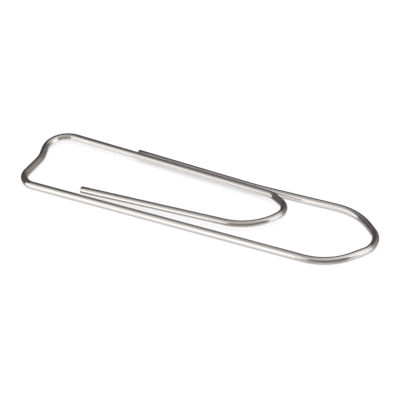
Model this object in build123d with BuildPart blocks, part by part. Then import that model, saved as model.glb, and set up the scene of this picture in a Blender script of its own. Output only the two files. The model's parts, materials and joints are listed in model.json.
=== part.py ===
from math import radians, sin, cos, atan2, tan
import os
from build123d import *

os.makedirs("parts", exist_ok=True)

# Sizes of the whole clip, in millimetres
overall_length = 77.0
overall_width = 19.8
wire_dia = 1.5
side_gap = 0.25
end_break = 0.12

# Outer loop: its pointed arch and the free leg that bows in towards the tongue
arch_length = 6.45
shoulder_radius = 11.5
shoulder_inset = 0.5
outer_end_setback = 19.8
bow_inset = 1.2
bow_radius = 63.0

# Heel: its two corners and the dent between them
heel_dent = 1.5
near_corner_radius = 2.8
far_corner_radius = 4.8

# Tongue: its lopsided nose, lifted a little, and the free leg that slants to the near leg
tongue_length = 55.4
tongue_lift = 0.25
tongue_far_arch = 3.95
tongue_near_arch = 3.85
tongue_shoulder_radius = 4.0
inner_shoulder_radius = 11.5
inner_rise = 1.9
inner_end_setback = 13.8

# Shares: bow along the free leg, nose corners across each arch, dent across the heel, rise of the tongue
bow_share = 0.562
nose_shares = {"far": 0.667, "near": 0.446}
tongue_nose_shares = {"far": 0.8, "near": 0.567}
dent_share = 0.5
dent_flat_share = 0.4
raise_share = 0.45
fill_share = 0.92

# The wire lies on Z = 0 with the clip centred on X and Y; the tongue rides a little higher than the loop
wire_radius = wire_dia / 2
beside = wire_dia + side_gap
near_y = wire_radius - overall_width / 2
far_y = overall_width / 2 - wire_radius
base_z = wire_radius
tongue_z = base_z + wire_dia * raise_share
heel_z = (base_z + tongue_z) / 2


def half_turn(a, b, c):
    return tan(radians((b - a).get_angle(c - b)) / 2)


def fitted(radius, room, turn):
    return min(radius, fill_share * room / turn)


# The far corner of the heel lies on the line of the tongue's leg, which runs beside the outer free leg
outer_leg_length = overall_length - wire_dia - arch_length - outer_end_setback
leg_slope = bow_inset / (outer_leg_length * bow_share)
heel_width = far_y - beside + leg_slope * outer_end_setback - near_y
dent_flat = wire_dia * dent_flat_share
dent_y = near_y + heel_width * dent_share
slant = atan2(heel_dent, heel_width * dent_share - dent_flat)
corner_bulge = near_corner_radius * ((1 + sin(slant)) / cos(slant) - 1)
nose_x = overall_length / 2 - wire_radius
heel_x = -nose_x - corner_bulge

# Outer loop, from the free end round the nose to the near leg
shoulder_x = nose_x - arch_length
outer_end = Vector(heel_x + outer_end_setback, far_y, base_z)
bow = Vector(outer_end.X + outer_leg_length * bow_share, far_y - bow_inset, base_z)
far_shoulder_at = Vector(shoulder_x, far_y - shoulder_inset, base_z)
near_shoulder_at = Vector(shoulder_x, near_y, base_z)
arch_width = far_shoulder_at.Y - near_y
nose_far_at = Vector(nose_x, near_y + arch_width * nose_shares["far"], base_z)
nose_near_at = Vector(nose_x, near_y + arch_width * nose_shares["near"], base_z)
near_corner_at = Vector(heel_x, near_y, base_z)

# Heel, with its dent, climbing to the level of the tongue
dent_x = heel_x + heel_dent
dent_near_at = Vector(dent_x, dent_y - dent_flat, heel_z)
heel_middle = Vector(dent_x, dent_y, heel_z)
dent_far_at = Vector(dent_x, dent_y + dent_flat, heel_z)
far_corner_at = Vector(heel_x, near_y + heel_width, tongue_z)


def tongue_height(x):
    return tongue_z + tongue_lift * (x - heel_x) / tongue_length


# Tongue, rising from the heel round its nose to the free end beside the near leg
tongue_x = heel_x + tongue_length
nose_z = tongue_height(tongue_x)
tongue_shoulder_x = tongue_x - tongue_far_arch
tongue_shoulder_y = far_corner_at.Y - leg_slope * (tongue_shoulder_x - heel_x)
tongue_shoulder_at = Vector(tongue_shoulder_x, tongue_shoulder_y, tongue_height(tongue_shoulder_x))
inner_end_x = heel_x + inner_end_setback
inner_end = Vector(inner_end_x, near_y + beside, tongue_height(inner_end_x))
inner_shoulder_x = tongue_x - tongue_near_arch
inner_shoulder_at = Vector(inner_shoulder_x, inner_end.Y + inner_rise, tongue_height(inner_shoulder_x))
tongue_width = tongue_shoulder_at.Y - inner_shoulder_at.Y
tongue_far_at = Vector(tongue_x, inner_shoulder_at.Y + tongue_width * tongue_nose_shares["far"], nose_z)
tongue_near_at = Vector(tongue_x, inner_shoulder_at.Y + tongue_width * tongue_nose_shares["near"], nose_z)

# Nose radii fill the nose, and each nose is parted where the wire runs straight across
nose_far_turn = half_turn(far_shoulder_at, nose_far_at, nose_near_at)
nose_near_turn = half_turn(nose_far_at, nose_near_at, near_shoulder_at)
nose_span = nose_far_at.Y - nose_near_at.Y
nose_radius = fill_share * nose_span / (nose_far_turn + nose_near_turn)
nose_part = nose_near_turn / (nose_far_turn + nose_near_turn)
nose_middle = Vector(nose_x, nose_near_at.Y + nose_span * nose_part, base_z)

tongue_far_turn = half_turn(tongue_shoulder_at, tongue_far_at, tongue_near_at)
tongue_near_turn = half_turn(tongue_far_at, tongue_near_at, inner_shoulder_at)
tongue_span = tongue_far_at.Y - tongue_near_at.Y
tongue_nose_radius = fill_share * tongue_span / (tongue_far_turn + tongue_near_turn)
tongue_part = tongue_near_turn / (tongue_far_turn + tongue_near_turn)
tongue_middle = Vector(tongue_x, tongue_near_at.Y + tongue_span * tongue_part, nose_z)

# Each bend is held to the run it has
dent_near_turn = half_turn(near_corner_at, dent_near_at, heel_middle)
dent_far_turn = half_turn(heel_middle, dent_far_at, far_corner_at)
dent_near_radius = fill_share * dent_flat / dent_near_turn
dent_far_radius = fill_share * dent_flat / dent_far_turn
far_bend = fitted(
    shoulder_radius,
    (far_shoulder_at - nose_far_at).length - nose_radius * nose_far_turn,
    half_turn(nose_far_at, far_shoulder_at, bow),
)
near_bend = fitted(
    shoulder_radius,
    (near_shoulder_at - nose_near_at).length - nose_radius * nose_near_turn,
    half_turn(nose_near_at, near_shoulder_at, near_corner_at),
)
near_corner_bend = fitted(
    near_corner_radius,
    (near_corner_at - dent_near_at).length - dent_near_radius * dent_near_turn,
    half_turn(near_shoulder_at, near_corner_at, dent_near_at),
)
far_corner_bend = fitted(
    far_corner_radius,
    (far_corner_at - dent_far_at).length - dent_far_radius * dent_far_turn,
    half_turn(dent_far_at, far_corner_at, tongue_shoulder_at),
)
tongue_bend = fitted(
    tongue_shoulder_radius,
    (tongue_shoulder_at - tongue_far_at).length - tongue_nose_radius * tongue_far_turn,
    half_turn(far_corner_at, tongue_shoulder_at, tongue_far_at),
)
inner_bend = fitted(
    inner_shoulder_radius,
    (tongue_near_at - inner_shoulder_at).length - tongue_nose_radius * tongue_near_turn,
    half_turn(tongue_near_at, inner_shoulder_at, inner_end),
)

# Centre lines of the four lengths of wire, each ending where the wire runs straight across
with BuildLine() as outer_arm_line:
    FilletPolyline(
        nose_middle, nose_far_at, far_shoulder_at, bow, outer_end,
        radius=[nose_radius, far_bend, bow_radius],
    )
outer_arm_runs = outer_arm_line.wire().order_edges()

with BuildLine() as base_line:
    FilletPolyline(
        nose_middle, nose_near_at, near_shoulder_at, near_corner_at, dent_near_at, heel_middle,
        radius=[nose_radius, near_bend, near_corner_bend, dent_near_radius],
    )
base_runs = base_line.wire().order_edges()

with BuildLine() as tongue_line:
    FilletPolyline(
        heel_middle, dent_far_at, far_corner_at, tongue_shoulder_at, tongue_far_at, tongue_middle,
        radius=[dent_far_radius, far_corner_bend, tongue_bend, tongue_nose_radius],
    )
tongue_runs = tongue_line.wire().order_edges()

with BuildLine() as inner_arm_line:
    FilletPolyline(
        tongue_middle, tongue_near_at, inner_shoulder_at, inner_end,
        radius=[tongue_nose_radius, inner_bend],
    )
inner_arm_runs = inner_arm_line.wire().order_edges()

# Far half of the outer nose
with BuildPart() as outer_nose_far:
    with BuildLine() as outer_nose_far_line:
        add(outer_arm_runs[0:2])
    with BuildSketch(Plane(origin=outer_nose_far_line.wire() @ 0, z_dir=outer_nose_far_line.wire() % 0)):
        Circle(wire_radius)
    sweep()
outer_nose_far.part.label = "outer_nose_far"
export_step(outer_nose_far.part, "parts/outer_nose_far.step")

# Far flank and shoulder of the outer loop
with BuildPart() as far_shoulder:
    with BuildLine() as far_shoulder_line:
        add(outer_arm_runs[2:4])
    with BuildSketch(Plane(origin=far_shoulder_line.wire() @ 0, z_dir=far_shoulder_line.wire() % 0)):
        Circle(wire_radius)
    sweep()
far_shoulder.part.label = "far_shoulder"
export_step(far_shoulder.part, "parts/far_shoulder.step")

# Outer free leg, slightly bowed, with its cut end broken
with BuildPart() as outer_free_leg:
    with BuildLine() as outer_free_leg_line:
        add(outer_arm_runs[4:7])
    with BuildSketch(Plane(origin=outer_free_leg_line.wire() @ 0, z_dir=outer_free_leg_line.wire() % 0)):
        Circle(wire_radius)
    sweep()
    chamfer(edges().filter_by(GeomType.CIRCLE).sort_by(Axis.X)[0], length=end_break)
outer_free_leg.part.label = "outer_free_leg"
export_step(outer_free_leg.part, "parts/outer_free_leg.step")

# Near half of the outer nose
with BuildPart() as outer_nose_near:
    with BuildLine() as outer_nose_near_line:
        add(base_runs[0:2])
    with BuildSketch(Plane(origin=outer_nose_near_line.wire() @ 0, z_dir=outer_nose_near_line.wire() % 0)):
        Circle(wire_radius)
    sweep()
outer_nose_near.part.label = "outer_nose_near"
export_step(outer_nose_near.part, "parts/outer_nose_near.step")

# Near flank and shoulder of the outer loop
with BuildPart() as near_shoulder:
    with BuildLine() as near_shoulder_line:
        add(base_runs[2:4])
    with BuildSketch(Plane(origin=near_shoulder_line.wire() @ 0, z_dir=near_shoulder_line.wire() % 0)):
        Circle(wire_radius)
    sweep()
near_shoulder.part.label = "near_shoulder"
export_step(near_shoulder.part, "parts/near_shoulder.step")

# Long straight near leg
with BuildPart() as near_leg:
    with BuildLine() as near_leg_line:
        add(base_runs[4:5])
    with BuildSketch(Plane(origin=near_leg_line.wire() @ 0, z_dir=near_leg_line.wire() % 0)):
        Circle(wire_radius)
    sweep()
near_leg.part.label = "near_leg"
export_step(near_leg.part, "parts/near_leg.step")

# Tight near corner of the heel
with BuildPart() as near_heel_corner:
    with BuildLine() as near_heel_corner_line:
        add(base_runs[5:6])
    with BuildSketch(Plane(origin=near_heel_corner_line.wire() @ 0, z_dir=near_heel_corner_line.wire() % 0)):
        Circle(wire_radius)
    sweep()
near_heel_corner.part.label = "near_heel_corner"
export_step(near_heel_corner.part, "parts/near_heel_corner.step")

# Near half of the heel, down to the dent
with BuildPart() as heel_near_half:
    with BuildLine() as heel_near_half_line:
        add(base_runs[6:9])
    with BuildSketch(Plane(origin=heel_near_half_line.wire() @ 0, z_dir=heel_near_half_line.wire() % 0)):
        Circle(wire_radius)
    sweep()
heel_near_half.part.label = "heel_near_half"
export_step(heel_near_half.part, "parts/heel_near_half.step")

# Far half of the heel, up from the dent
with BuildPart() as heel_far_half:
    with BuildLine() as heel_far_half_line:
        add(tongue_runs[0:3])
    with BuildSketch(Plane(origin=heel_far_half_line.wire() @ 0, z_dir=heel_far_half_line.wire() % 0)):
        Circle(wire_radius)
    sweep()
heel_far_half.part.label = "heel_far_half"
export_step(heel_far_half.part, "parts/heel_far_half.step")

# Wide far corner of the heel
with BuildPart() as far_heel_corner:
    with BuildLine() as far_heel_corner_line:
        add(tongue_runs[3:4])
    with BuildSketch(Plane(origin=far_heel_corner_line.wire() @ 0, z_dir=far_heel_corner_line.wire() % 0)):
        Circle(wire_radius)
    sweep()
far_heel_corner.part.label = "far_heel_corner"
export_step(far_heel_corner.part, "parts/far_heel_corner.step")

# Long leg of the tongue
with BuildPart() as tongue_leg:
    with BuildLine() as tongue_leg_line:
        add(tongue_runs[4:5])
    with BuildSketch(Plane(origin=tongue_leg_line.wire() @ 0, z_dir=tongue_leg_line.wire() % 0)):
        Circle(wire_radius)
    sweep()
tongue_leg.part.label = "tongue_leg"
export_step(tongue_leg.part, "parts/tongue_leg.step")

# Far shoulder and flank of the tongue
with BuildPart() as tongue_shoulder:
    with BuildLine() as tongue_shoulder_line:
        add(tongue_runs[5:7])
    with BuildSketch(Plane(origin=tongue_shoulder_line.wire() @ 0, z_dir=tongue_shoulder_line.wire() % 0)):
        Circle(wire_radius)
    sweep()
tongue_shoulder.part.label = "tongue_shoulder"
export_step(tongue_shoulder.part, "parts/tongue_shoulder.step")

# Far half of the tongue's nose
with BuildPart() as tongue_nose_far:
    with BuildLine() as tongue_nose_far_line:
        add(tongue_runs[7:9])
    with BuildSketch(Plane(origin=tongue_nose_far_line.wire() @ 0, z_dir=tongue_nose_far_line.wire() % 0)):
        Circle(wire_radius)
    sweep()
tongue_nose_far.part.label = "tongue_nose_far"
export_step(tongue_nose_far.part, "parts/tongue_nose_far.step")

# Near half of the tongue's nose
with BuildPart() as tongue_nose_near:
    with BuildLine() as tongue_nose_near_line:
        add(inner_arm_runs[0:3])
    with BuildSketch(Plane(origin=tongue_nose_near_line.wire() @ 0, z_dir=tongue_nose_near_line.wire() % 0)):
        Circle(wire_radius)
    sweep()
tongue_nose_near.part.label = "tongue_nose_near"
export_step(tongue_nose_near.part, "parts/tongue_nose_near.step")

# Wide near shoulder of the tongue
with BuildPart() as inner_shoulder:
    with BuildLine() as inner_shoulder_line:
        add(inner_arm_runs[3:4])
    with BuildSketch(Plane(origin=inner_shoulder_line.wire() @ 0, z_dir=inner_shoulder_line.wire() % 0)):
        Circle(wire_radius)
    sweep()
inner_shoulder.part.label = "inner_shoulder"
export_step(inner_shoulder.part, "parts/inner_shoulder.step")

# Inner free leg, with its cut end broken
with BuildPart() as inner_free_leg:
    with BuildLine() as inner_free_leg_line:
        add(inner_arm_runs[4:5])
    with BuildSketch(Plane(origin=inner_free_leg_line.wire() @ 0, z_dir=inner_free_leg_line.wire() % 0)):
        Circle(wire_radius)
    sweep()
    chamfer(edges().filter_by(GeomType.CIRCLE).sort_by(Axis.X)[0], length=end_break)
inner_free_leg.part.label = "inner_free_leg"
export_step(inner_free_leg.part, "parts/inner_free_leg.step")
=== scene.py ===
import json
import math
import bmesh
import bpy
from mathutils import Matrix, Vector
from mathutils.geometry import intersect_line_line


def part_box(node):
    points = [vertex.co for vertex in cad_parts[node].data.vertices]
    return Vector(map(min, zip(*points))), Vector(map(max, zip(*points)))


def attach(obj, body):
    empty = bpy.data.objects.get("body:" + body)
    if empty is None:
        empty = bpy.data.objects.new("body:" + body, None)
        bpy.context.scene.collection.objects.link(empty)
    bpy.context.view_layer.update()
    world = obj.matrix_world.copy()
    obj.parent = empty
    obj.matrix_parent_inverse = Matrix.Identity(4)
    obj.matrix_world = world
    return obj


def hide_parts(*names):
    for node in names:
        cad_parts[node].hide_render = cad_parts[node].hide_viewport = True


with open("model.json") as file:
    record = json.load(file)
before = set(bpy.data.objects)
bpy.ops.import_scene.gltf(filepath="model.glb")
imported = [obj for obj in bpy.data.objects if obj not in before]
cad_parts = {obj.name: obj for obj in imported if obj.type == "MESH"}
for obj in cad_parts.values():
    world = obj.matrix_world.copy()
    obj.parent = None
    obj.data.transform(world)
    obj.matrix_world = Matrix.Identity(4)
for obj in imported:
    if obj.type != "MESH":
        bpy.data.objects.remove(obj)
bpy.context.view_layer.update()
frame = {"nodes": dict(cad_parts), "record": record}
scene = bpy.context.scene
millimetre = 0.001
bodyOf = {node: body for body, nodes in frame["record"]["behaviour"]["bodies"].items() for node in nodes}
print("frame loaded,", len(frame["nodes"]), "stretches of wire")


# Helpers for nodes, materials and objects

def addNode(tree, kind, **settings):
    node = tree.nodes.new(kind)
    for name, value in settings.items():
        setattr(node, name, value)
    return node


def setInput(tree, socket, value):
    if isinstance(value, (int, float)):
        socket.default_value = value
    elif isinstance(value, tuple):
        socket.default_value = (*value, 1.0)
    else:
        tree.links.new(value, socket)


def addMath(tree, operation, first, second, clamp=False):
    node = addNode(tree, "ShaderNodeMath", operation=operation, use_clamp=clamp)
    setInput(tree, node.inputs[0], first)
    setInput(tree, node.inputs[1], second)
    return node.outputs[0]


def addRange(tree, value, low, high, toLow=0.0, toHigh=1.0):
    node = addNode(tree, "ShaderNodeMapRange", interpolation_type="SMOOTHSTEP")
    tree.links.new(value, node.inputs["Value"])
    for name, number in (("From Min", low), ("From Max", high), ("To Min", toLow), ("To Max", toHigh)):
        node.inputs[name].default_value = number
    return node.outputs["Result"]


def addMix(tree, share, first, second, blend="MIX"):
    node = addNode(tree, "ShaderNodeMix", data_type="RGBA", blend_type=blend)
    inputs = {socket.identifier: socket for socket in node.inputs}
    setInput(tree, inputs["Factor_Float"], share)
    setInput(tree, inputs["A_Color"], first)
    setInput(tree, inputs["B_Color"], second)
    return next(socket for socket in node.outputs if socket.identifier == "Result_Color")


def addNoise(tree, vector, along, around, detail):
    stretch = addNode(tree, "ShaderNodeMapping")
    stretch.inputs["Scale"].default_value = (1 / along, 1 / around, 1 / around)
    tree.links.new(vector, stretch.inputs["Vector"])
    noise = addNode(tree, "ShaderNodeTexNoise")
    noise.inputs["Scale"].default_value = 1.0
    noise.inputs["Detail"].default_value = detail
    tree.links.new(stretch.outputs["Vector"], noise.inputs["Vector"])
    return noise.outputs["Fac"]


def addAttribute(tree, name, output):
    return addNode(tree, "ShaderNodeAttribute", attribute_name=name).outputs[output]


def addSplit(tree, vector):
    split = addNode(tree, "ShaderNodeSeparateXYZ")
    tree.links.new(vector, split.inputs["Vector"])
    return split.outputs


def addBump(tree, height, depth, shader):
    bump = addNode(tree, "ShaderNodeBump")
    bump.inputs["Distance"].default_value = depth
    tree.links.new(height, bump.inputs["Height"])
    tree.links.new(bump.outputs["Normal"], shader.inputs["Normal"])


def mixShaders(tree, share, first, second):
    node = addNode(tree, "ShaderNodeMixShader")
    for socket, value in zip(node.inputs, (share, first.outputs[0], second.outputs[0])):
        tree.links.new(value, socket)
    return node


def newMaterial(name):
    material = bpy.data.materials.new(name)
    material.use_nodes = True
    return material, material.node_tree


def newMetal(name):
    material, tree = newMaterial(name)
    shader = tree.nodes["Principled BSDF"]
    shader.inputs["Metallic"].default_value = 1.0
    return material, tree, shader


def addObject(name, bm, materials):
    mesh = bpy.data.meshes.new(name)
    bm.to_mesh(mesh)
    bm.free()
    for material in materials:
        mesh.materials.append(material)
    made = bpy.data.objects.new(name, mesh)
    scene.collection.objects.link(made)
    return made


# Marks of drawing and handling, in coordinates that run along the wire and round it

drawnWire = {
    "Lines": {"along": 14 * millimetre, "around": 0.11 * millimetre, "detail": 2.0, "range": (0.3, 0.7)},
    "Bands": {"along": 22 * millimetre, "around": 0.42 * millimetre, "detail": 1.0, "range": (0.35, 0.65)},
    "Patches": {"along": 2.2 * millimetre, "around": 0.9 * millimetre, "detail": 3.0, "range": (0.4, 0.7)},
}


def drawnWireGroup():
    group = bpy.data.node_groups.new("drawnWire", "ShaderNodeTree")
    group.interface.new_socket("Wire Run", in_out="INPUT", socket_type="NodeSocketVector")
    for name in drawnWire:
        group.interface.new_socket(name, in_out="OUTPUT", socket_type="NodeSocketFloat")
    enter = addNode(group, "NodeGroupInput")
    leave = addNode(group, "NodeGroupOutput")
    for name, mark in drawnWire.items():
        noise = addNoise(group, enter.outputs["Wire Run"], mark["along"], mark["around"], mark["detail"])
        group.links.new(addRange(group, noise, *mark["range"]), leave.inputs[name])
    return group


drawnWireMarks = drawnWireGroup()


def addMarks(tree, run):
    marks = addNode(tree, "ShaderNodeGroup", node_tree=drawnWireMarks)
    tree.links.new(run, marks.inputs["Wire Run"])
    return marks.outputs


# Bright plating, and the bare steel of the two cut ends

brightPlate = {
    "clean": (0.87, 0.86, 0.85), "rubbed": (0.70, 0.67, 0.65), "rubbedLeast": 0.3,
    "scuffAndDarkReflection": (0.46, 0.43, 0.40), "scuffAndDarkReflectionLeast": 0.4, "scuffAndDarkReflectionFrom": 0.55, "scuffAndDarkReflectionTo": 0.9,
    "sideFrom": -0.52 * millimetre, "sideTo": -0.68 * millimetre,  # scuffs, with a painted dark reflection, keep to a bend's outer side
    "dulled": (0.62, 0.61, 0.60), "dulledFrom": 0.85,
    "heelTint": (0.99, 1.0, 0.95), "legTint": (1.0, 0.995, 0.99),
    "tintFrom": -37 * millimetre, "tintTo": -24 * millimetre,  # along the clip
    "smooth": 0.06, "rough": 0.19, "roughLeast": 0.4, "worn": 0.30, "lineDepth": 0.0012 * millimetre,
}


def brightPlateMaterial():
    material, tree, shader = newMetal("brightPlate")
    run = addAttribute(tree, "wireRun", "Vector")
    worked = addAttribute(tree, "worked", "Fac")
    marks = addMarks(tree, run)

    rubbing = addRange(tree, worked, 0.0, 1.0, brightPlate["rubbedLeast"], 1.0)
    rubbed = addMath(tree, "MULTIPLY", marks["Bands"], rubbing)
    colour = addMix(tree, rubbed, brightPlate["clean"], brightPlate["rubbed"])

    # painted dark reflection, partly a real scuff: the outer side of the harder bends is darkened and
    # mottled in place of a reflection of dark surroundings
    outerSide = addRange(tree, addSplit(tree, run)["Y"], brightPlate["sideFrom"], brightPlate["sideTo"])
    bent = addRange(tree, worked, brightPlate["scuffAndDarkReflectionFrom"], brightPlate["scuffAndDarkReflectionTo"])
    grain = addRange(tree, marks["Patches"], 0.0, 1.0, brightPlate["scuffAndDarkReflectionLeast"], 1.0)
    scuffAndDarkReflection = addMath(tree, "MULTIPLY", addMath(tree, "MULTIPLY", outerSide, bent), grain)
    colour = addMix(tree, scuffAndDarkReflection, colour, brightPlate["scuffAndDarkReflection"])
    dulled = addRange(tree, worked, brightPlate["dulledFrom"], 1.0)
    colour = addMix(tree, dulled, colour, brightPlate["dulled"], "MULTIPLY")

    place = addSplit(tree, addNode(tree, "ShaderNodeTexCoord").outputs["Object"])
    alongClip = addRange(tree, place["X"], brightPlate["tintFrom"], brightPlate["tintTo"])
    tint = addMix(tree, alongClip, brightPlate["heelTint"], brightPlate["legTint"])
    tree.links.new(addMix(tree, 1.0, colour, tint, "MULTIPLY"), shader.inputs["Base Color"])

    lined = addRange(tree, worked, 0.0, 1.0, brightPlate["roughLeast"], 1.0)
    dull = addMath(tree, "MULTIPLY", marks["Lines"], lined)
    roughness = addRange(tree, dull, 0.0, 1.0, brightPlate["smooth"], brightPlate["rough"])
    worn = addMath(tree, "MULTIPLY", addMath(tree, "MAXIMUM", scuffAndDarkReflection, dulled), brightPlate["worn"])
    tree.links.new(addMath(tree, "ADD", roughness, worn), shader.inputs["Roughness"])
    addBump(tree, marks["Lines"], brightPlate["lineDepth"], shader)
    return material


shearedSteel = {
    "bright": (0.62, 0.61, 0.60), "torn": (0.30, 0.29, 0.28),
    "smooth": 0.28, "rough": 0.55, "grainDepth": 0.012 * millimetre,
}


def shearedSteelMaterial():
    material, tree, shader = newMetal("shearedSteel")
    torn = addMarks(tree, addAttribute(tree, "wireRun", "Vector"))["Patches"]
    colour = addMix(tree, torn, shearedSteel["bright"], shearedSteel["torn"])
    tree.links.new(colour, shader.inputs["Base Color"])
    roughness = addRange(tree, torn, 0.0, 1.0, shearedSteel["smooth"], shearedSteel["rough"])
    tree.links.new(roughness, shader.inputs["Roughness"])
    addBump(tree, torn, shearedSteel["grainDepth"], shader)
    return material


wireMaterials = [brightPlateMaterial(), shearedSteelMaterial()]
finishNames = [material.name for material in wireMaterials]
print("finishes made:", finishNames)


# Centre line of a stretch, read from the flat ends of its CAD node

flatEnd = {"weld": 0.001 * millimetre, "flatWithin": 0.5, "straightWithin": 0.2}  # angles in degrees
lyingLow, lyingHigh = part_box("near_leg")  # this leg lies level on the table
wireRadius = (lyingHigh.z - lyingLow.z) / 2


def flatEnds(node):
    bm = bmesh.new()
    bm.from_mesh(frame["nodes"][node].data)
    bmesh.ops.remove_doubles(bm, verts=bm.verts, dist=flatEnd["weld"])
    flatAngle = math.radians(flatEnd["flatWithin"])
    bmesh.ops.dissolve_limit(bm, angle_limit=flatAngle, verts=bm.verts, edges=bm.edges)
    ends = sorted(bm.faces, key=lambda face: len(face.verts))[-2:]
    found = [(face.calc_center_median_weighted(), face.normal.copy()) for face in ends]
    bm.free()
    return found


def centreLine(node, cameFrom, bendRadius=None):
    ends = sorted(flatEnds(node), key=lambda end: (end[0] - cameFrom).length)
    (startAt, startFace), (endAt, endFace) = ends
    leaving, arriving = -startFace, endFace
    turn = leaving.angle(arriving)
    if turn < math.radians(flatEnd["straightWithin"]):
        return startAt, leaving, [("leg", (endAt - startAt).length)], endAt
    corner = intersect_line_line(startAt, startAt + leaving, endAt, endAt - arriving)[0]
    lead, tail = (corner - startAt).length, (corner - endAt).length
    reach = bendRadius * math.tan(turn / 2) if bendRadius else min(lead, tail)
    bend = ("bend", reach / math.tan(turn / 2), turn, leaving.cross(arriving).normalized())
    return startAt, leaving, [("leg", lead - reach), bend, ("leg", tail - reach)], endAt


# A stretch of round wire: a ring that is extruded along the legs and spun round the bends

tube = {"sides": 56, "bendStep": 2.0, "legStep": 3.0 * millimetre, "shortest": 0.001 * millimetre}


def partsOf(made, kind):
    return [part for part in made if isinstance(part, kind)]


def startRing(bm, runLayer, startAt, heading, runSoFar):
    side = heading.cross(Vector((0, 0, 1))).normalized()
    up = side.cross(heading)
    place = Matrix((side, up, heading)).transposed().to_4x4()
    place.translation = startAt
    bmesh.ops.create_circle(bm, segments=tube["sides"], radius=wireRadius)
    for vert in bm.verts:
        vert[runLayer] = Vector((runSoFar, vert.co.x, vert.co.y))
    bmesh.ops.transform(bm, matrix=place, verts=bm.verts)
    return list(bm.edges)


def sweepRing(bm, ring, runLayer, at, heading, steps):
    for kind, size, *bend in steps:
        if kind == "leg" and size > tube["shortest"]:
            count = math.ceil(size / tube["legStep"])
            for _ in range(count):
                made = bmesh.ops.extrude_edge_only(bm, edges=ring)["geom"]
                ring = partsOf(made, bmesh.types.BMEdge)
                verts = partsOf(made, bmesh.types.BMVert)
                bmesh.ops.translate(bm, verts=verts, vec=heading * (size / count))
                for vert in verts:
                    vert[runLayer].x += size / count
            at = at + heading * size
        elif kind == "bend":
            turn, axis = bend
            centre = at + axis.cross(heading) * size
            count = math.ceil(math.degrees(turn) / tube["bendStep"])
            for _ in range(count):
                made = bmesh.ops.spin(bm, geom=ring, cent=centre, axis=axis, angle=turn / count, steps=1)
                ring = partsOf(made["geom_last"], bmesh.types.BMEdge)
                for vert in partsOf(made["geom_last"], bmesh.types.BMVert):
                    vert[runLayer].x += size * turn / count
            swing = Matrix.Rotation(turn, 3, axis)
            at = centre + swing @ (at - centre)
            heading = swing @ heading
    return ring


def wireStretch(piece, cameFrom, runSoFar):
    node = piece["node"]
    startAt, heading, steps, endAt = centreLine(node, cameFrom, piece.get("bendRadius"))
    bm = bmesh.new()
    runLayer = bm.verts.layers.float_vector.new("wireRun")
    workedLayer = bm.verts.layers.float.new("worked")
    firstRing = startRing(bm, runLayer, startAt, heading, runSoFar)
    lastRing = sweepRing(bm, firstRing, runLayer, startAt, heading, steps)
    firstCap = bmesh.ops.edgeloop_fill(bm, edges=firstRing)["faces"]
    lastCap = bmesh.ops.edgeloop_fill(bm, edges=lastRing)["faces"]

    # worked says how hard the wire was bent: it runs from end to end, or fades out into a leg
    length = max(vert[runLayer].x for vert in bm.verts) - runSoFar
    first, last = piece["worked"]
    fade = piece.get("fade", length)
    for vert in bm.verts:
        fromStart = vert[runLayer].x - runSoFar
        nearStart = max(0.0, 1 - fromStart / fade)
        nearEnd = max(0.0, 1 - (length - fromStart) / fade)
        vert[workedLayer] = first * nearStart + last * nearEnd

    bmesh.ops.recalc_face_normals(bm, faces=bm.faces)
    for face in bm.faces:
        face.smooth = True
    for edge in firstRing + lastRing:
        edge.smooth = False
    if "cutAt" in piece:
        trimCut(bm, firstCap if piece["cutAt"] == "start" else lastCap)
    made = addObject(piece["name"], bm, wireMaterials)
    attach(made, bodyOf[node])
    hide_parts(node)
    return endAt, runSoFar + length


# Cut end: the rim rolls over, and inside the sheared rim the torn middle stands back a little

cutEnd = {
    "rollOver": 0.13 * millimetre, "rollSteps": 4,
    "rimWidth": 0.16 * millimetre, "dish": 0.035 * millimetre, "finish": "shearedSteel",
}


def trimCut(bm, cap):
    rim = list({edge for face in cap for edge in face.edges})
    for edge in rim:
        edge.smooth = True
    bmesh.ops.bevel(bm, geom=rim, offset=cutEnd["rollOver"], segments=cutEnd["rollSteps"], profile=0.5,
                    affect="EDGES", material=-1, offset_type="OFFSET", clamp_overlap=True)
    flats = [face for face in bm.faces if len(face.verts) == tube["sides"]]
    face = min(flats, key=lambda flat: flat.calc_area())  # the rolled rim leaves the cut end the smaller
    made = bmesh.ops.inset_individual(bm, faces=[face], thickness=cutEnd["rimWidth"], depth=-cutEnd["dish"])
    for part in [face, *made["faces"]]:
        part.material_index = finishNames.index(cutEnd["finish"])


legFade = 6 * millimetre  # how far the work of a bend shows on the leg beside it
wirePieces = [
    {"node": "outer_free_leg", "name": "outerFreeLegWire", "worked": (0.2, 0.8), "fade": legFade,
     "cutAt": "start", "bendRadius": 63 * millimetre},
    {"node": "far_shoulder", "name": "farShoulderWire", "worked": (0.8, 0.8)},
    {"node": "outer_nose_far", "name": "outerNoseFarWire", "worked": (0.8, 0.86)},
    {"node": "outer_nose_near", "name": "outerNoseNearWire", "worked": (0.86, 0.72)},
    {"node": "near_shoulder", "name": "nearShoulderWire", "worked": (0.72, 0.9)},
    {"node": "near_leg", "name": "nearLegWire", "worked": (0.9, 0.4), "fade": legFade},
    {"node": "near_heel_corner", "name": "nearHeelCornerWire", "worked": (0.4, 1.0)},
    {"node": "heel_near_half", "name": "heelNearHalfWire", "worked": (1.0, 1.0)},
    {"node": "heel_far_half", "name": "heelFarHalfWire", "worked": (1.0, 0.92)},
    {"node": "far_heel_corner", "name": "farHeelCornerWire", "worked": (0.92, 0.4)},
    {"node": "tongue_leg", "name": "tongueLegWire", "worked": (0.4, 0.8), "fade": legFade},
    {"node": "tongue_shoulder", "name": "tongueShoulderWire", "worked": (0.8, 0.8)},
    {"node": "tongue_nose_far", "name": "tongueNoseFarWire", "worked": (0.8, 0.86)},
    {"node": "tongue_nose_near", "name": "tongueNoseNearWire", "worked": (0.86, 0.65)},
    {"node": "inner_shoulder", "name": "innerShoulderWire", "worked": (0.65, 0.7)},
    {"node": "inner_free_leg", "name": "innerFreeLegWire", "worked": (0.7, 0.2), "fade": legFade,
     "cutAt": "end"},
]

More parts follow.
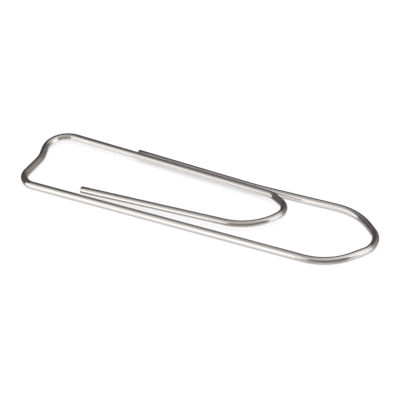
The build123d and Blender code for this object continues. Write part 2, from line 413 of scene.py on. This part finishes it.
wireAt = min((at for at, _ in flatEnds("outer_free_leg")), key=lambda at: at.x)
wireLength = 0.0
for wirePiece in wirePieces:
    wireAt, wireLength = wireStretch(wirePiece, wireAt, wireLength)
print("wire followed for", round(wireLength / millimetre, 1), "mm in", len(wirePieces), "stretches")


# Camera, at the photograph's angle

view = {
    "azimuth": 22.467, "elevation": 40.0, "distance": 0.7,
    "target": (-0.5745 * millimetre, -0.2297 * millimetre, 0.75 * millimetre),
    "lens": 302.3, "sensor": 36.0,
}


def directionTo(azimuth, elevation):
    a, e = math.radians(azimuth), math.radians(elevation)
    return Vector((math.sin(a) * math.cos(e), -math.cos(a) * math.cos(e), math.sin(e)))


def addCamera():
    data = bpy.data.cameras.new("camera")
    data.lens, data.sensor_width = view["lens"], view["sensor"]
    camera = bpy.data.objects.new("camera", data)
    back = directionTo(view["azimuth"], view["elevation"])
    camera.location = Vector(view["target"]) + back * view["distance"]
    camera.rotation_euler = (-back).to_track_quat("-Z", "Y").to_euler()
    scene.collection.objects.link(camera)
    scene.camera = camera


addCamera()
print("camera set")


# White table and surroundings
# the table is mostly clear to the camera, so a piece that is swung below it still shows, veiled
# only the metal sees it polished

studio = {
    "tableSize": 3.0, "tableDrop": 0.01 * millimetre, "tableWhite": (0.9, 0.9, 0.9), "clearShare": 0.88,
    "contactReach": 2.5 * millimetre, "contactShade": 0.2, "contactEnds": 0.5,
    "polish": 0.5, "grazingPolish": 0.5, "polishRough": 0.1, "ambient": 0.9, "white": (1.0, 1.0, 1.0),
}


def seenInMetal(tree, path):
    return addMath(tree, "MAXIMUM", path["Is Glossy Ray"], path["Is Transmission Ray"])


def whiteTableMaterial():
    material, tree = newMaterial("whiteTable")
    tree.nodes.clear()
    path = addNode(tree, "ShaderNodeLightPath").outputs
    inMetal = seenInMetal(tree, path)
    # painted contact shadow: ambient occlusion darkens the table's white wherever the clip is near, both to
    # the camera and in the metal's reflections
    near = addNode(tree, "ShaderNodeAmbientOcclusion")
    near.inputs["Distance"].default_value = studio["contactReach"]
    paintedContactShade = addRange(tree, near.outputs["AO"], 0.0, studio["contactEnds"], studio["contactShade"], 1.0)

    matt = addNode(tree, "ShaderNodeBsdfDiffuse")
    setInput(tree, matt.inputs["Color"], studio["tableWhite"])
    clear = addNode(tree, "ShaderNodeBsdfTransparent")
    tree.links.new(paintedContactShade, clear.inputs["Color"])
    clearness = addMath(tree, "MULTIPLY", path["Is Camera Ray"], studio["clearShare"])
    pale = mixShaders(tree, clearness, matt, clear)

    plain = addNode(tree, "ShaderNodeEmission")
    tree.links.new(paintedContactShade, plain.inputs["Color"])
    whitened = mixShaders(tree, inMetal, pale, plain)
    polish = addNode(tree, "ShaderNodeBsdfGlossy")
    setInput(tree, polish.inputs["Color"], studio["white"])
    polish.inputs["Roughness"].default_value = studio["polishRough"]
    facing = addNode(tree, "ShaderNodeLayerWeight").outputs["Facing"]
    grazing = addMath(tree, "MULTIPLY", facing, studio["grazingPolish"])
    gleam = addMath(tree, "ADD", grazing, studio["polish"], clamp=True)
    polished = mixShaders(tree, addMath(tree, "MULTIPLY", inMetal, gleam), whitened, polish)

    below = addNode(tree, "ShaderNodeNewGeometry").outputs["Backfacing"]
    seen = mixShaders(tree, below, polished, addNode(tree, "ShaderNodeBsdfTransparent"))
    out = addNode(tree, "ShaderNodeOutputMaterial")
    tree.links.new(seen.outputs[0], out.inputs["Surface"])
    return material


def addTable():
    bm = bmesh.new()
    bmesh.ops.create_grid(bm, x_segments=1, y_segments=1, size=studio["tableSize"] / 2)
    bmesh.ops.translate(bm, verts=bm.verts, vec=(0, 0, -studio["tableDrop"]))
    table = addObject("table", bm, [whiteTableMaterial()])


def addBackground(tree, strength):
    background = addNode(tree, "ShaderNodeBackground")
    setInput(tree, background.inputs["Color"], studio["white"])
    background.inputs["Strength"].default_value = strength
    return background


def lightWorld():
    world = bpy.data.worlds.new("surroundings")
    scene.world = world
    world.use_nodes = True
    tree = world.node_tree
    tree.nodes.clear()
    path = addNode(tree, "ShaderNodeLightPath").outputs
    seenDirectly = addMath(tree, "MAXIMUM", path["Is Camera Ray"], seenInMetal(tree, path))
    seen = mixShaders(tree, seenDirectly, addBackground(tree, studio["ambient"]), addBackground(tree, 1.0))
    out = addNode(tree, "ShaderNodeOutputWorld")
    tree.links.new(seen.outputs[0], out.inputs["Surface"])


# Cards that stand round the clip and give the metal its dark, grey and bright reflections
# azimuths run clockwise from straight behind the clip, seen from the camera
# first and last are the glow at a card's two upright edges, each at its foot and at its top

cards = [
    {"name": "leftCard", "radius": 0.6, "azimuths": (-97, -40), "elevations": (-3, 56),
     "first": (0.09, 0.165), "last": (0.07, 0.115), "tint": (1.0, 0.83, 0.94)},
    {"name": "backCard", "radius": 0.6, "azimuths": (-40, 20), "elevations": (-3, 56),
     "first": (0.055, 0.088), "last": (0.08, 0.10), "tint": (1.0, 0.83, 0.94)},
    {"name": "backRightCard", "radius": 0.6, "azimuths": (20, 60), "elevations": (-3, 56),
     "first": (0.08, 0.10), "last": (0.22, 0.19), "tint": (1.0, 0.98, 0.86)},
    {"name": "rightCard", "radius": 0.6, "azimuths": (60, 89), "elevations": (-3, 56),
     "first": (0.22, 0.19), "last": (0.42, 0.50), "tint": (1.0, 0.98, 0.9)},
    {"name": "rightEdgeCard", "radius": 0.6, "azimuths": (89, 99), "elevations": (-3, 56),
     "first": (0.42, 0.50), "last": (1.2, 0.90), "tint": (1.0, 0.98, 0.9)},
    {"name": "frontRightCard", "radius": 0.6, "azimuths": (99, 130), "elevations": (-3, 80),
     "first": (1.5, 0.7), "last": (1.7, 0.7), "tint": (1.0, 0.98, 0.97)},
    {"name": "frontCard", "radius": 0.6, "azimuths": (130, 206), "elevations": (-3, 44),
     "first": (0.12, 0.38), "last": (0.16, 0.48), "tint": (1.0, 0.93, 0.88)},
    {"name": "frontTopCard", "radius": 0.6, "azimuths": (130, 206), "elevations": (44, 80),
     "first": (0.38, 0.75), "last": (0.48, 0.75), "tint": (1.0, 0.95, 0.92)},
    {"name": "frontLeftCard", "radius": 0.6, "azimuths": (206, 263), "elevations": (-3, 56),
     "first": (1.45, 0.70), "last": (1.45, 0.66), "tint": (1.0, 0.98, 0.97)},
    {"name": "frontLeftTopCard", "radius": 0.6, "azimuths": (206, 272), "elevations": (56, 80),
     "first": (0.79, 0.5), "last": (0.72, 0.4), "tint": (1.0, 0.98, 0.97)},
    {"name": "backTopLeftCard", "radius": 0.3, "azimuths": (-88, -30), "elevations": (50, 74),
     "first": (0.10, 0.2), "last": (0.04, 0.36), "tint": (1.0, 0.98, 0.96)},
    {"name": "backTopCard", "radius": 0.3, "azimuths": (-30, 30), "elevations": (50, 74),
     "first": (0.04, 0.36), "last": (0.8, 0.75), "tint": (1.0, 0.98, 0.96)},
    {"name": "backTopRightCard", "radius": 0.3, "azimuths": (30, 102), "elevations": (50, 74),
     "first": (0.8, 0.75), "last": (0.7, 0.7), "tint": (1.0, 0.98, 0.96)},
    {"name": "topBackLeftCard", "radius": 0.3, "azimuths": (-90, 0), "elevations": (74, 89),
     "first": (0.24, 0.48), "last": (0.52, 0.52), "tint": (1.0, 0.98, 0.97)},
    {"name": "topBackRightCard", "radius": 0.3, "azimuths": (0, 90), "elevations": (74, 89),
     "first": (0.52, 0.52), "last": (0.72, 0.56), "tint": (1.0, 0.98, 0.97)},
    {"name": "topFrontRightCard", "radius": 0.3, "azimuths": (90, 180), "elevations": (74, 89),
     "first": (0.72, 0.56), "last": (0.52, 0.52), "tint": (1.0, 0.98, 0.97)},
    {"name": "topFrontLeftCard", "radius": 0.3, "azimuths": (180, 270), "elevations": (74, 89),
     "first": (0.52, 0.52), "last": (0.24, 0.48), "tint": (1.0, 0.98, 0.97)},
]
cardGrid = {"rows": 12, "columnStep": 3.0}  # a column is this many degrees wide at most


def cardMaterial():
    material, tree = newMaterial("cardGlow")
    tree.nodes.clear()
    glow = addNode(tree, "ShaderNodeEmission")
    tree.links.new(addAttribute(tree, "glow", "Color"), glow.inputs["Color"])
    out = addNode(tree, "ShaderNodeOutputMaterial")
    tree.links.new(glow.outputs[0], out.inputs["Surface"])
    return material


cardGlow = cardMaterial()


def between(ends, share):
    return ends[0] * (1 - share) + ends[1] * share


def addCard(card):
    firstAzimuth, lastAzimuth = (180 + view["azimuth"] - azimuth for azimuth in card["azimuths"])
    columns = math.ceil(abs(lastAzimuth - firstAzimuth) / cardGrid["columnStep"])
    bm = bmesh.new()
    bmesh.ops.create_grid(bm, x_segments=columns, y_segments=cardGrid["rows"], size=0.5)  # a unit square
    glow = bm.verts.layers.float_color.new("glow")
    for vert in bm.verts:
        across, up = vert.co.x + 0.5, vert.co.y + 0.5
        foot, top = (between(edges, across) for edges in zip(card["first"], card["last"]))
        vert[glow] = (*[between((foot, top), up) * share for share in card["tint"]], 1.0)
        azimuth = between((firstAzimuth, lastAzimuth), across)
        vert.co = directionTo(azimuth, between(card["elevations"], up)) * card["radius"]
    made = addObject(card["name"], bm, [cardGlow])
    made.visible_camera = False
    made.visible_diffuse = False
    made.visible_shadow = False


# Soft lamp over the table, for its white and the clip's faint shadow

tableLamp = {"size": 0.5, "height": 0.5, "power": 2.7}


def addTableLamp():
    data = bpy.data.lights.new("tableLamp", "AREA")
    data.shape = "DISK"
    data.size = tableLamp["size"]
    data.energy = tableLamp["power"]
    lamp = bpy.data.objects.new("tableLamp", data)
    lamp.location = (0, 0, tableLamp["height"])
    lamp.visible_glossy = False
    lamp.visible_camera = False
    scene.collection.objects.link(lamp)


addTable()
lightWorld()
for studioCard in cards:
    addCard(studioCard)
addTableLamp()
scene.view_settings.view_transform = "Standard"
print("table and light set")
